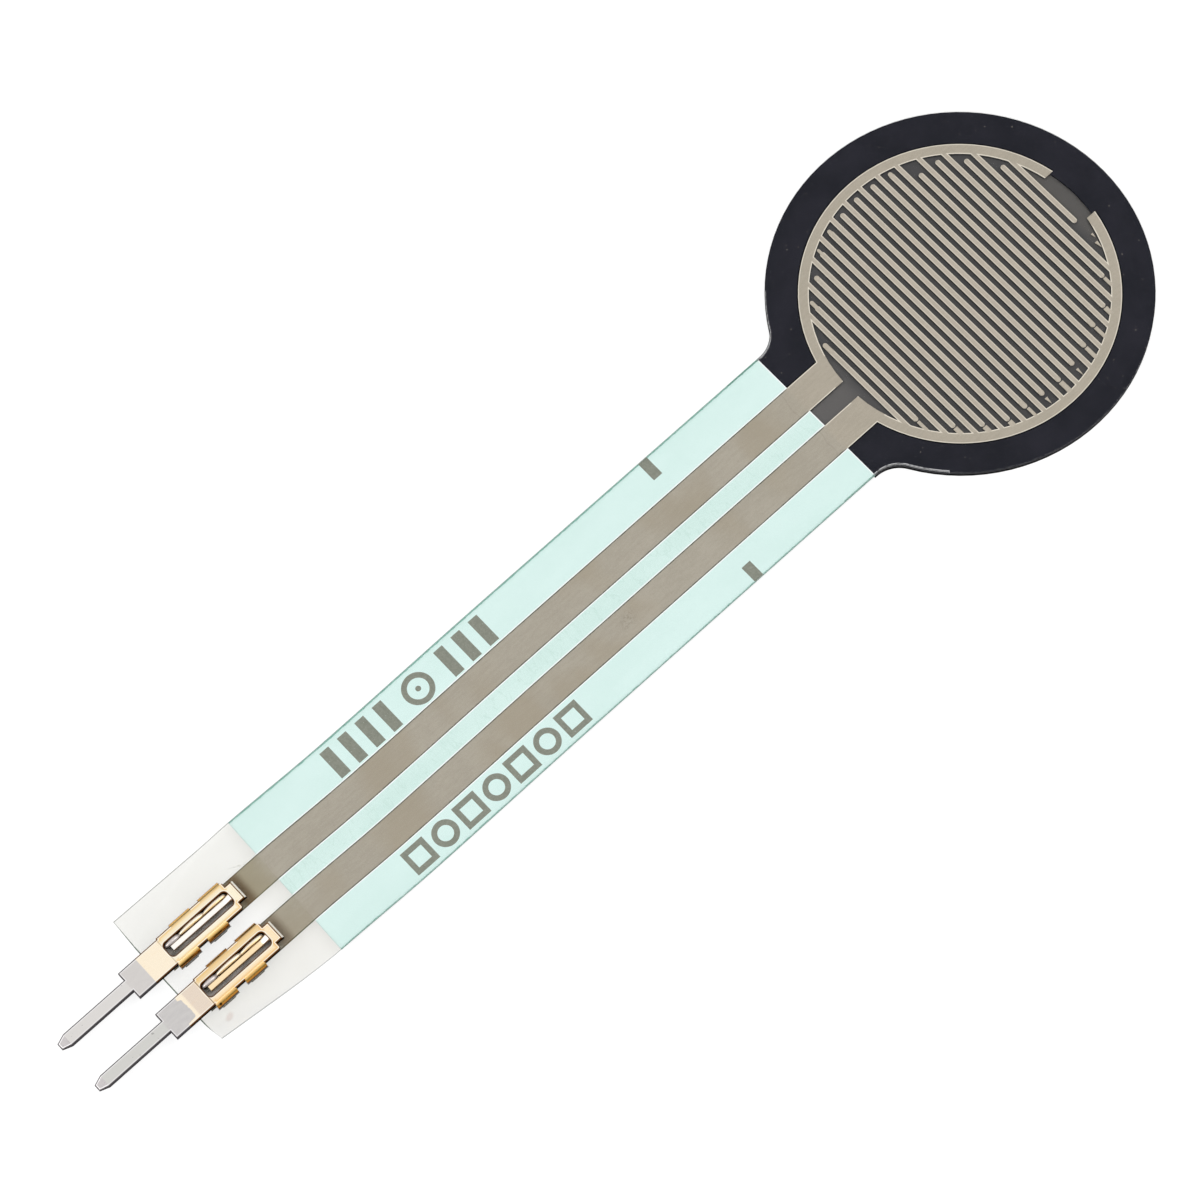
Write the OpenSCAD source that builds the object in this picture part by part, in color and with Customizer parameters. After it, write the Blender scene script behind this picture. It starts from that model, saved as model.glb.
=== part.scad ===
// Round force sensing resistor on a printed film tail with two crimped solder contacts.
// The frame's origin is the centre of the head on its rear face.
// +X runs along the tail to the solder pins, and +Z points out of the sensing face.

/* [Head] */
// Diameter of the round sensing head
head_d = 18.1; // [17.5:0.1:20]
// Radius of the hollow corner where the head meets the tail
neck_r = 1.5; // [0.5:0.1:2.5]
// Shift of the die-cut outline from the print, along the tail
cut_dx = -0.06; // [-0.15:0.01:0.15]
// Shift of the die-cut outline from the print, across the tail
cut_dy = -0.07; // [-0.15:0.01:0.15]

/* [Tail] */
// Distance from the head's centre to the end of the film
tail_len = 48.6; // [42:0.1:70]
// Width of the film tail
tail_w = 7.87; // [7.2:0.01:9]
// Length of clear film left bare of dielectric at the end
bare_len = 6.85; // [6:0.05:9]
// Slant of the dielectric's end
bare_slant = 1.2; // [0:0.1:3]

/* [Layer thicknesses] */
// Release liner that covers the rear adhesive
liner_t = 0.05; // [0.03:0.01:0.12]
// Rear mounting adhesive
adhesive_t = 0.05; // [0.03:0.01:0.12]
// Rear film that carries the force sensing ink
base_t = 0.1; // [0.05:0.01:0.2]
// Carbon force sensing ink
ink_t = 0.03; // [0.02:0.01:0.06]
// Air gap that the spacer keeps under the silver
spacer_t = 0.1; // [0.05:0.01:0.2]
// Printed silver
silver_t = 0.03; // [0.02:0.01:0.05]
// Dielectric under the silver on the tail
dielectric_t = 0.03; // [0.02:0.01:0.05]
// Clear front film that carries the silver
film_t = 0.13; // [0.08:0.01:0.25]

/* [Electrodes] */
// Black border from the half rings to the head's edge
ring_border = 1.55; // [1.2:0.05:2]
// Width of the half rings
ring_w = 0.5; // [0.3:0.05:0.8]
// Opening between the half rings, opposite the tail
ring_gap = 2.8; // [1:0.1:4]
// How far the rings lie over the spacer's edge
ring_seat = 0.17; // [0.05:0.01:0.25]
// Width of one finger
finger_w = 0.25; // [0.18:0.01:0.3]
// Distance from one finger to the next
finger_pitch = 0.508; // [0.45:0.001:0.6]
// Gap between a finger's free end and the other half ring
tip_gap = 0.2; // [0.1:0.05:0.5]
// The same gap on the fingers that were trimmed back after printing
trim_gap = 0.68; // [0.2:0.02:1]
// Width of the two traces
trace_w = 1.53; // [1.2:0.01:1.8]
// Distance between the traces, and between the contacts
trace_pitch = 2.54; // [2.3:0.01:3]
// Overlap of the spacer under the traces beside the vent channel
vent_overlap = -0.2; // [-0.4:0.05:0.3]

/* [Printed marks] */
// Distance of the index marks from the head's centre
index_x = 16.35; // [13:0.05:20]
// Width of an index mark
index_w = 0.52; // [0.3:0.02:1]
// Length of an index mark, from the tail's edge
index_len = 1; // [0.5:0.05:1.4]
// Space kept between a code bar and the trace or the tail's edge
bar_margin = 0.13; // [0.05:0.01:0.4]
// Width of one code bar
bar_w = 0.54; // [0.3:0.02:0.8]
// Distance from one code bar to the next
bar_pitch = 1.06; // [0.9:0.02:1.2]
// Length between the two groups of code bars
bar_break = 3.22; // [2:0.02:4]
// Distance from the last code bar to the end of the dielectric
bar_inset = 5.25; // [1:0.05:8]
// Size of one pattern mark
pattern_size = 1.3; // [1:0.05:1.4]
// Distance from one pattern mark to the next
pattern_pitch = 1.55; // [1.45:0.01:1.7]
// Line width of the pattern marks and of the target
stroke_w = 0.27; // [0.15:0.01:0.4]

/* [Contacts] */
// Distance from the contact's lip to the film's end
contact_back = 5.25; // [4.8:0.05:5.8]
// Sheet thickness of the contacts
metal_t = 0.32; // [0.26:0.01:0.4]
// Width of the crimped body, round the window
body_w = 1.6; // [1.4:0.01:1.8]
// Width of the plate between the body and the pin
plate_w = 1.48; // [1.3:0.01:1.6]
// Length of the plate with its lip
plate_len = 6.52; // [6.4:0.02:8]
// Width of the narrow lip at the plate's head end
lip_w = 0.97; // [0.6:0.01:1.2]
// Length of the lip
lip_len = 0.42; // [0.3:0.01:0.5]
// Bevel on the lip's upper edge
lip_bevel = 0.1; // [0.04:0.01:0.2]
// Radius of the window's corners
window_r = 0.2; // [0.1:0.01:0.3]
// Distance from the lip's end to the window
window_start = 0.55; // [0.52:0.01:0.8]
// Length of the window in the plate
window_len = 3.7; // [3.6:0.05:4.2]
// Width of the window
window_w = 0.78; // [0.74:0.01:0.9]
// Width of the tongue that lies in the window
tongue_w = 0.25; // [0.15:0.01:0.3]
// Thickness of the tongue
tongue_t = 0.2; // [0.1:0.01:0.24]
// Clearance from the tongue's free end to the window's end
tongue_gap = 0.28; // [0.1:0.02:0.6]
// Thickness of a crimp tine
tine_t = 0.22; // [0.16:0.01:0.24]
// Width of a tine at its root
tine_w = 1.18; // [0.9:0.02:1.4]
// Width of a tine's point, past the film
point_w = 0.74; // [0.5:0.02:0.8]
// Distance along the contact from one tine to the next, which is on the other side
tine_step = 0.85; // [0.82:0.01:0.9]
// How far the folded tines stand out past the plate's side
fold_out = 0.15; // [0.05:0.01:0.2]
// Length of tine that shows under the film before its curl
curl_drop = 0.12; // [0.02:0.01:0.2]
// Depth of the tines' points below the plate's face
point_recess = 0.05; // [0:0.01:0.1]
// Clearance around a tine where it pierces the film
pierce_gap = 0.02; // [0.01:0.01:0.05]
// Length of silver past the window's end
trace_past = 0.3; // [0.1:0.05:0.6]
// Length of a solder pin with its point
pin_len = 4.05; // [2.5:0.05:6]
// Width of a pin
pin_w = 0.63; // [0.4:0.01:0.8]
// Length of the pin's point
pin_point_len = 0.47; // [0.2:0.01:0.8]
// Width of the pin's end
pin_end_w = 0.33; // [0.15:0.01:0.4]
// Thickness of the pin's end
pin_end_t = 0.14; // [0.08:0.01:0.2]

/* [Shape at rest] */
// How far the film tail sags between the head and the contacts
tail_dip = 0.2; // [0:0.01:0.25]
// Length of the tail's fall into the sag
fall_len = 10; // [6:0.5:12]
// Length of the tail's rise to the contacts
rise_len = 6.2; // [4:0.1:9]
// Length of flat film at the contacts
end_flat = 6.4; // [6.3:0.05:8]
// Angle of the film corner that curls up beside the left contact
ear_angle_left = 44; // [5:1:60]
// Angle of the film corner that curls up beside the right contact
ear_angle_right = 28; // [5:1:60]
// Radius of both curls
ear_r = 0.7; // [0.5:0.05:2]
// Length of a curled corner along the tail's edge
ear_len = 6.3; // [3:0.1:6.3]
// Flat film kept between a contact and the curled corner
ear_clear = 0.05; // [0.05:0.01:0.6]

/* [Hidden] */
$fn = 96;
LEFT = 1;
RIGHT = -1;
far = 100;

// Heights of the layers, from the rear face up
adhesive_z = liner_t;
base_z = adhesive_z + adhesive_t;
ink_z = base_z + base_t;
spacer_z = ink_z + ink_t;
silver_z = spacer_z + spacer_t;
film_z = silver_z + silver_t;
film_top = film_z + film_t;

// Outline of the head and its neck
head_r = head_d / 2;
fillet_c = [sqrt(pow(head_r + neck_r, 2) - pow(tail_w / 2 + neck_r, 2)), tail_w / 2 + neck_r];
neck_turn = atan2(fillet_c[1], fillet_c[0]);
neck_steps = 10;
neck_bite = 0.002;
neck_run = 0.1;
neck_end = fillet_c[0] + neck_run;
film_end = tail_len - cut_dx;

// Electrodes
ring_r = head_r - ring_border;
ring_in = ring_r - ring_w;
ring_mid = ring_r - ring_w / 2;
opening_r = ring_r - ring_seat;
trace_gap = trace_pitch - trace_w;
trace_edge = trace_pitch / 2 + trace_w / 2;
vent_w = trace_gap - 2 * vent_overlap;
finger_half = floor((ring_in - finger_w) / finger_pitch);
finger_last = 2 * finger_half - 1;
trimmed = [6, 7, 8, 10, 12, 14, 16];

// Marks in the borders beside the traces
dielectric_end = tail_len - bare_len;
border_w = tail_w / 2 - abs(cut_dy) - trace_edge;
bar_h = border_w - 2 * bar_margin;
mark_mid = trace_edge + border_w / 2;
bars_far = 4;
bars_near = 3;
bars_far_x = dielectric_end - bar_inset - bar_w - (bars_far - 1) * bar_pitch;
bars_near_x = bars_far_x - bar_break - bar_w - (bars_near - 1) * bar_pitch;
pattern_count = 7;
pattern_mid = (bars_near_x + bars_far_x + bar_w + (bars_far - 1) * bar_pitch) / 2;

// Contacts
contact_x = tail_len - contact_back;
window_mid = window_start + window_len / 2;
trace_end = contact_x + window_start + window_len + trace_past;
point_y = (tongue_w + window_w) / 4;
leg_y = body_w / 2 + fold_out - tine_t / 2;
curl_r = (leg_y - point_y) / 2;
fold_r = min(metal_t - tine_t / 2, leg_y - window_w / 2 - tine_t);
film_depth = film_t + silver_t;
curl_z = -film_depth - curl_drop;
shoulder = 0.12;
fold_notch = 0.1;
fold_seat = 0.02;
tines = 4;

// Height of the tail's end, where the curled tines just touch what the head lies on
end_lift = film_depth + curl_drop + curl_r + tine_t / 2 - film_top;
rise_end = tail_len - end_flat;
rise_start = rise_end - rise_len;
fall_start = rise_start - fall_len;
bend_steps = 12;

// Curled corner of the film's end
ear_w = tail_w / 2 - trace_pitch / 2 - body_w / 2 - fold_out - ear_clear;
ear_from = [tail_len - ear_len, tail_w / 2];
ear_to = [tail_len, tail_w / 2 - ear_w];
ear_turn = atan2(ear_to[1] - ear_from[1], ear_to[0] - ear_from[0]);
ear_reach = ear_w * cos(ear_turn);
ear_steps = 6;

function ramp(t) = (1 - cos(180 * min(max(t, 0), 1))) / 2;
function tail_rise(x) = -tail_dip * ramp((x - fall_start) / fall_len)
    + (tail_dip + end_lift) * ramp((x - rise_start) / rise_len);

// Places along the tail where its side profile bends
profile_x = concat([-far],
    [for (i = [0:bend_steps - 1]) fall_start + fall_len * i / bend_steps],
    [for (i = [0:bend_steps]) rise_start + rise_len * i / bend_steps],
    [far]);

// One layer of the laminate, bent to the tail's side profile, from height z0 to z1
module layer(z0, z1) {
    rotate([90, 0, 0])
        linear_extrude(far, center = true)
            polygon(concat(
                [for (x = profile_x) [x, z0 + tail_rise(x)]],
                [for (i = [len(profile_x) - 1:-1:0]) [profile_x[i], z1 + tail_rise(profile_x[i])]]));
}

// A flat outline, given as children, as a layer of the bent laminate
module bent(z0, z1) {
    intersection() {
        layer(z0, z1);
        translate([0, 0, -far / 2])
            linear_extrude(far)
                children();
    }
}

// Outline of the tail with the hollow corners of its neck, up to a place along it
module tail_outline(x_end) {
    corner = [for (i = [0:neck_steps]) neck_point(i)];
    polygon(concat(
        [[0, 0], corner[0] * (1 - neck_bite)], corner,
        [[x_end, tail_w / 2], [x_end, -tail_w / 2]],
        [for (i = [neck_steps:-1:0]) [corner[i][0], -corner[i][1]]],
        [[corner[0][0], -corner[0][1]] * (1 - neck_bite)]));
}

// The whole die-cut outline, head and tail
module cut_outline(x_end) {
    translate([cut_dx, cut_dy]) {
        circle(head_r);
        tail_outline(x_end);
    }
}

// Points of a neck corner, from the head to the tail's edge
function neck_point(i) =
    let (a = 180 + neck_turn + (90 - neck_turn) * i / neck_steps)
    fillet_c + neck_r * [cos(a), sin(a)];

// A layer of the head, which ends in a straight line across the neck
module head_layer(z, t) {
    translate([cut_dx, cut_dy, z]) {
        cylinder(t, r = head_r);
        linear_extrude(t)
            tail_outline(neck_end);
    }
}

module release_liner() {
    color([0.28, 0.26, 0.24])
        head_layer(0, liner_t);
}

module rear_adhesive() {
    color([0.12, 0.12, 0.13])
        head_layer(adhesive_z, adhesive_t);
}

module base_film() {
    color([0.1, 0.1, 0.11])
        head_layer(base_z, base_t);
}

module force_sensing_ink() {
    color([0.33, 0.32, 0.33])
        head_layer(ink_z, ink_t);
}

// Spacer with the round opening of the sensing area and the vent channel out of the neck.
// The silver that crosses it is bedded in its face.
module spacer_adhesive() {
    color([0.15, 0.15, 0.17])
        difference() {
            head_layer(spacer_z, spacer_t + silver_t);
            cylinder(far, r = opening_r);
            translate([0, -vent_w / 2, 0])
                cube([far, vent_w, far]);
            translate([0, 0, silver_z])
                linear_extrude(far)
                    for (side = [LEFT, RIGHT])
                        comb_outline(side);
        }
}

function finger_x(i) = (i + 0.5 - finger_half) * finger_pitch;
function is_trimmed(i) = len(search(i, trimmed)) > 0;
function circle_y(r, x) = sqrt(r * r - x * x);

// How far a finger reaches past the middle line, to its free end.
// The first finger stops level with the opening in the ring.
function finger_reach(i) =
    let (gap = is_trimmed(i) ? trim_gap : tip_gap,
         reach = circle_y(ring_in - gap, abs(finger_x(i)) + finger_w / 2))
    i == 0 ? min(reach, ring_gap / 2 - tip_gap) : reach;

// One half ring with its fingers and its trace. Odd fingers hang on the left half ring.
module comb_outline(side) {
    difference() {
        intersection() {
            circle(ring_r);
            translate([-far / 2, side > 0 ? 0 : -far])
                square(far);
        }
        circle(ring_in);
        translate([-far, -ring_gap / 2])
            square([far, ring_gap]);
        translate([0, -trace_gap / 2])
            square([far, trace_gap]);
    }
    difference() {
        translate([0, side * trace_pitch / 2 - trace_w / 2])
            square([trace_end, trace_w]);
        circle(ring_mid);
        pierce_outline();
    }
    for (i = [side > 0 ? 1 : 0:2:finger_last])
        scale([1, side])
            translate([finger_x(i), 0]) {
                root = circle_y(ring_mid, finger_x(i));
                free = -finger_reach(i) + finger_w / 2;
                translate([-finger_w / 2, free])
                    square([finger_w, root - free]);
                translate([0, free])
                    circle(finger_w / 2, $fn = 24);
            }
}

module electrode_comb(side) {
    color([0.7, 0.67, 0.61])
        bent(silver_z, film_z)
            comb_outline(side);
}

module electrode_comb_left() {
    electrode_comb(LEFT);
}

module electrode_comb_right() {
    electrode_comb(RIGHT);
}

// Two index marks, cut off by the tail's edges
module index_outline() {
    intersection() {
        cut_outline(tail_len);
        translate([index_x - index_w / 2, 0])
            difference() {
                translate([0, -far / 2])
                    square([index_w, far]);
                translate([0, -tail_w / 2 + index_len])
                    square([index_w, tail_w - 2 * index_len]);
            }
    }
}

// Two groups of bars on the right border, with a round target between them
module code_outline() {
    translate([0, -mark_mid]) {
        for (i = [0:bars_near - 1])
            translate([bars_near_x + i * bar_pitch, -bar_h / 2])
                square([bar_w, bar_h]);
        for (i = [0:bars_far - 1])
            translate([bars_far_x + i * bar_pitch, -bar_h / 2])
                square([bar_w, bar_h]);
        translate([bars_far_x - bar_break / 2, 0]) {
            difference() {
                circle(d = bar_h, $fn = 48);
                circle(d = bar_h - 2 * stroke_w, $fn = 48);
            }
            circle(d = stroke_w, $fn = 24);
        }
    }
}

module pattern_shape(i, size) {
    if (i % 2 == 0)
        square(size, center = true);
    else
        circle(d = size, $fn = 48);
}

// A plain row of open squares and rings on the left border
module pattern_outline() {
    for (i = [0:pattern_count - 1])
        translate([pattern_mid + (i - (pattern_count - 1) / 2) * pattern_pitch, mark_mid])
            difference() {
                pattern_shape(i, pattern_size);
                pattern_shape(i, pattern_size - 2 * stroke_w);
            }
}

module index_marks() {
    color([0.58, 0.6, 0.54])
        bent(silver_z, film_z)
            index_outline();
}

module code_bars() {
    color([0.52, 0.54, 0.49])
        bent(silver_z, film_z)
            code_outline();
}

module pattern_marks() {
    color([0.52, 0.54, 0.49])
        bent(silver_z, film_z)
            pattern_outline();
}

// Dielectric print of the tail. It fills the spaces beside the silver and covers its rear.
module tail_dielectric() {
    color([0.82, 0.93, 0.91])
        difference() {
            bent(silver_z - dielectric_t, film_z)
                difference() {
                    cut_outline(tail_len);
                    translate([-far, -far / 2])
                        square([far + neck_end + cut_dx, far]);
                    translate([dielectric_end, 0])
                        rotate(-bare_slant)
                            translate([0, -far / 2])
                                square([far, far]);
                }
            bent(silver_z, film_z + film_t) {
                for (side = [LEFT, RIGHT])
                    comb_outline(side);
                index_outline();
                code_outline();
                pattern_outline();
            }
        }
}

// Where the tines of both contacts pierce the film
module pierce_outline() {
    for (side = [LEFT, RIGHT])
        for (i = [0:tines - 1])
            translate([contact_x + tine_x(i), side * trace_pitch / 2]) {
                translate([0, tine_side(i) * leg_y])
                    square([tine_w + 2 * pierce_gap, tine_t + 2 * pierce_gap], center = true);
                translate([0, -point_y])
                    square([point_w + 2 * pierce_gap, tine_t + 2 * pierce_gap], center = true);
            }
}

// Everything beyond the slanting line where a film corner starts to curl
module ear_mask(side) {
    translate([cut_dx, cut_dy])
        scale([1, side])
            translate(ear_from)
                rotate(ear_turn)
                    translate([-far / 2, 0])
                        square([far, far]);
}

// Corner of the film, curled up along a slanting line that starts at the tail's edge
module film_ear(side, angle) {
    bend = min(angle, ear_reach / ear_r * 180 / PI);
    run = ear_reach - ear_r * bend * PI / 180;
    section = concat(
        [for (i = [0:ear_steps]) curl_point(bend * i / ear_steps, film_z)],
        [for (z = [film_z, film_top]) curl_point(bend, z) + run * [cos(bend), sin(bend)]],
        [for (i = [ear_steps:-1:0]) curl_point(bend * i / ear_steps, film_top)]);
    corner = [ear_len * cos(ear_turn), ear_r * sin(bend) + run * cos(bend)];
    translate([cut_dx, cut_dy, end_lift])
        mirror([0, side == RIGHT ? 1 : 0, 0])
            translate(ear_from)
                rotate(ear_turn)
                    intersection() {
                        rotate([90, 0, 90])
                            linear_extrude(far, center = true)
                                polygon(section);
                        linear_extrude(far)
                            polygon([[0, 0], [norm(ear_to - ear_from), 0], corner]);
                    }
}

// Point of a curl's section at an angle from the fold line: distance from that line, and height
function curl_point(a, z) =
    let (r = ear_r + film_top - z)
    [r * sin(a), ear_r + film_top - r * cos(a)];

module top_film() {
    color([0.9, 0.93, 0.9, 0.6]) {
        bent(film_z, film_top) {
            difference() {
                cut_outline(tail_len);
                pierce_outline();
                for (side = [LEFT, RIGHT])
                    ear_mask(side);
            }
        }
        film_ear(LEFT, ear_angle_left);
        film_ear(RIGHT, ear_angle_right);
    }
}

function tine_x(i) = window_mid + (i - (tines - 1) / 2) * tine_step;
function tine_side(i) = i % 2 == 0 ? RIGHT : LEFT;

// A quarter of a flat ring around the origin, in the quadrant given by sy and sz
module quarter_bend(r, sy, sz) {
    intersection() {
        difference() {
            circle(r + tine_t / 2, $fn = 48);
            circle(r - tine_t / 2, $fn = 48);
        }
        scale([sy, sz])
            square(far);
    }
}

// Root of a tine: along the plate, folded down at its side and through the film
module tine_root_section() {
    fold_z = metal_t - tine_t / 2 - fold_r;
    translate([window_w / 2 + tine_t / 2, metal_t - tine_t])
        square([leg_y - fold_r - window_w / 2 - tine_t / 2, tine_t]);
    translate([leg_y - fold_r, fold_z])
        quarter_bend(fold_r, 1, 1);
    translate([leg_y - tine_t / 2, -film_depth])
        square([tine_t, fold_z + film_depth]);
}

// Point of a tine: curled under the film and up through it again, a distance inwards
module tine_hook_section(reach) {
    point_z = metal_t - point_recess - tine_t / 2;
    translate([leg_y - tine_t / 2, curl_z])
        square([tine_t, -curl_z - film_t]);
    translate([leg_y - curl_r, curl_z])
        quarter_bend(curl_r, 1, -1);
    if (reach > 2 * curl_r)
        translate([leg_y - reach + curl_r, curl_z - curl_r - tine_t / 2])
            square([reach - 2 * curl_r, tine_t]);
    translate([leg_y - reach + curl_r, curl_z])
        quarter_bend(curl_r, -1, -1);
    translate([leg_y - reach - tine_t / 2, curl_z])
        square([tine_t, point_z - curl_z]);
    translate([leg_y - reach, point_z])
        circle(tine_t / 2, $fn = 24);
}

// One tine. The points of both sides come up in one row, beside the tongue.
module tine(i) {
    side = tine_side(i);
    reach = side == RIGHT ? 2 * curl_r : leg_y + point_y;
    translate([tine_x(i), 0, 0])
        mirror([0, side == RIGHT ? 1 : 0, 0])
            rotate([90, 0, 90]) {
                linear_extrude(tine_w, center = true)
                    tine_root_section();
                linear_extrude(point_w, center = true)
                    tine_hook_section(reach);
            }
}

// Flat plate with its lip, sloping shoulders, crimped body and round-cornered window.
// The body's edge is notched where a tine folds down.
module plate_outline() {
    body_end = window_start + window_len;
    difference() {
        union() {
            translate([0, -lip_w / 2])
                square([window_start, lip_w]);
            polygon([
                [lip_len + shoulder, -body_w / 2], [body_end, -body_w / 2],
                [body_end, body_w / 2], [lip_len + shoulder, body_w / 2],
                [lip_len, body_w / 2 - shoulder], [lip_len, -body_w / 2 + shoulder]]);
            translate([window_start, -plate_w / 2])
                square([plate_len - window_start, plate_w]);
        }
        round_slot(window_start, window_len, window_w, window_r);
        for (i = [0:tines - 1])
            scale([1, tine_side(i)])
                translate([tine_x(i) - tine_w / 2 + fold_seat, body_w / 2 - fold_notch])
                    square([tine_w - 2 * fold_seat, fold_notch + 1]);
    }
}

// A rectangle with round corners
module round_slot(x, length, width, r) {
    translate([x + r, -width / 2])
        square([length - 2 * r, width]);
    translate([x, -width / 2 + r])
        square([length, width - 2 * r]);
    for (cx = [x + r, x + length - r], cy = [-width / 2 + r, width / 2 - r])
        translate([cx, cy])
            circle(r, $fn = 32);
}

// Side profile of the plate, with the bevel of its lip
module plate_profile() {
    polygon([[0, 0], [plate_len, 0], [plate_len, metal_t], [lip_bevel, metal_t],
        [0, metal_t - lip_bevel]]);
}

// Square pin with a point that tapers on all four sides
module solder_pin() {
    shank = pin_len - pin_point_len;
    root = 0.2;
    translate([plate_len, 0, 0])
        intersection() {
            linear_extrude(metal_t)
                polygon([
                    [-root, -pin_w / 2], [shank, -pin_w / 2], [pin_len, -pin_end_w / 2],
                    [pin_len, pin_end_w / 2], [shank, pin_w / 2], [-root, pin_w / 2]]);
            rotate([90, 0, 0])
                linear_extrude(pin_w, center = true)
                    polygon([
                        [-root, 0], [shank, 0], [pin_len, (metal_t - pin_end_t) / 2],
                        [pin_len, (metal_t + pin_end_t) / 2], [shank, metal_t], [-root, metal_t]]);
        }
}

// One crimp contact, stamped and folded from a strip, seated on the film over its trace
module contact(side) {
    color([0.93, 0.8, 0.55])
        translate([contact_x, side * trace_pitch / 2, film_top + end_lift]) {
            intersection() {
                linear_extrude(metal_t)
                    plate_outline();
                rotate([90, 0, 0])
                    linear_extrude(far, center = true)
                        plate_profile();
            }
            translate([window_start - 0.1, -tongue_w / 2, 0])
                cube([window_len - tongue_gap + 0.1, tongue_w, tongue_t]);
            for (i = [0:tines - 1])
                tine(i);
            solder_pin();
        }
}

module contact_left() {
    contact(LEFT);
}

module contact_right() {
    contact(RIGHT);
}

release_liner();
rear_adhesive();
base_film();
force_sensing_ink();
spacer_adhesive();
electrode_comb_left();
electrode_comb_right();
index_marks();
code_bars();
pattern_marks();
tail_dielectric();
top_film();
contact_left();
contact_right();
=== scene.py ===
import math

import bmesh
import bpy
from mathutils import Matrix, Vector


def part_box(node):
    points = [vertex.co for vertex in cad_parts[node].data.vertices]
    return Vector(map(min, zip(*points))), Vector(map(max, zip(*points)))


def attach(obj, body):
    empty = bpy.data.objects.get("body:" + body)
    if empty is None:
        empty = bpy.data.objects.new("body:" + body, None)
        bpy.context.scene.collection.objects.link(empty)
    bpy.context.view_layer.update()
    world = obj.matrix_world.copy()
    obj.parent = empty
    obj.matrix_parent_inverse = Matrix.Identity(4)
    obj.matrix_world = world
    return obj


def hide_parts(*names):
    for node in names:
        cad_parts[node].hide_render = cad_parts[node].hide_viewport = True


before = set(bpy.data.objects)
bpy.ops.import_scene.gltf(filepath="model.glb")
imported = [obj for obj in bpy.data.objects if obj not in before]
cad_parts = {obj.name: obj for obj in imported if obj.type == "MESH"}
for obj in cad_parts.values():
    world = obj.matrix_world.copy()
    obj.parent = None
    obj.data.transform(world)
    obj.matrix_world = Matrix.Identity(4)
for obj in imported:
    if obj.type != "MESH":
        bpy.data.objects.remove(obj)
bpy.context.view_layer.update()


# Release liner: thin brown-black glassine paper over the mounting adhesive on the rear of the head.
# It is die-cut in one stroke with the films above it, so from above only its edge shows.

class Wire:
    """An output of a material's node tree. Arithmetic on it adds Math nodes."""

    def __init__(self, tree, socket=None):
        self.tree = tree
        self.socket = socket

    def node(self, kind, settings=None, inputs=None, output=0):
        made = self.tree.nodes.new(kind)
        for name, value in (settings or {}).items():
            if name == "stops":
                ramp = made.color_ramp
                while len(ramp.elements) < len(value):
                    ramp.elements.new(1.0)
                for element, (place, shade) in zip(ramp.elements, value):
                    element.position = place
                    element.color = shade
            else:
                setattr(made, name, value)
        for name, value in (inputs or {}).items():
            if isinstance(value, Wire):
                self.tree.links.new(value.socket, made.inputs[name])
            else:
                made.inputs[name].default_value = value
        return Wire(self.tree, made.outputs[output])

    def math(self, operation, *terms, clamp=False):
        settings = {"operation": operation, "use_clamp": clamp}
        return self.node("ShaderNodeMath", settings, dict(enumerate(terms)))

    def __add__(self, other):
        return self.math("ADD", self, other)

    def __radd__(self, other):
        return self.math("ADD", other, self)

    def __sub__(self, other):
        return self.math("SUBTRACT", self, other)

    def __rsub__(self, other):
        return self.math("SUBTRACT", other, self)

    def __mul__(self, other):
        return self.math("MULTIPLY", self, other)

    def __rmul__(self, other):
        return self.math("MULTIPLY", other, self)

    def __abs__(self):
        return self.math("ABSOLUTE", self)

    def or_more(self, other):
        """The larger of two values."""
        return self.math("MAXIMUM", self, other)

    def or_less(self, other):
        """The smaller of two values."""
        return self.math("MINIMUM", self, other)

    def step(self, low, high):
        """0 below low, 1 above high, smooth between them."""
        settings = {"interpolation_type": "SMOOTHSTEP"}
        return self.node("ShaderNodeMapRange", settings, {0: self, 1: low, 2: high})

    def tint(self, low, high):
        """Colour that goes from low to high as this value goes from 0 to 1."""
        return self.node("ShaderNodeMix", {"data_type": "RGBA"}, {0: self, 6: low, 7: high}, 2)


def shade(red, green, blue):
    """Scene colour of an 8-bit screen colour."""
    parts = [c / 255 for c in (red, green, blue)]
    return [c / 12.92 if c <= 0.04045 else ((c + 0.055) / 1.055) ** 2.4 for c in parts] + [1.0]


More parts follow.
